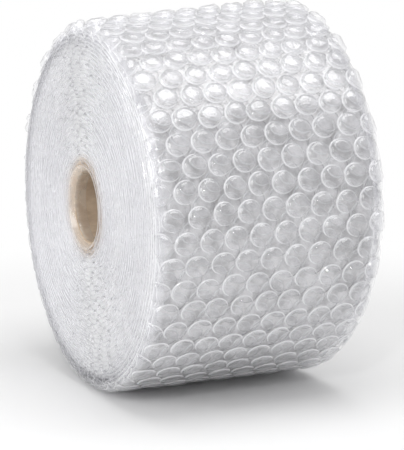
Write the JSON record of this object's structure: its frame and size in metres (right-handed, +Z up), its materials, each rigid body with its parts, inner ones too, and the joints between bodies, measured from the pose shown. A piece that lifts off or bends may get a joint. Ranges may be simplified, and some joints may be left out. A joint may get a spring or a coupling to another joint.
{
  "type": "bubble wrap roll",
  "caption": "Roll of clear air-bubble cushioning film wound on a cardboard core tube, lying on its side, for wrapping and padding packed goods.",
  "frame": {"origin": "on the floor under the middle of the roll, at the centre of the bottom of its box", "axes": "X along the winding axis, +Y to the back where the loose end hangs, +Z up"},
  "size_m": [0.25, 0.4093, 0.4027],
  "materials": {
    "film": "clear film wound to a translucent milky white, glossy bubbles",
    "core_board": "matte kraft board"
  },
  "bodies": {
    "root": {"bubble_wrap": "film", "core_tube": "core_board"}
  },
  "joints": []
}
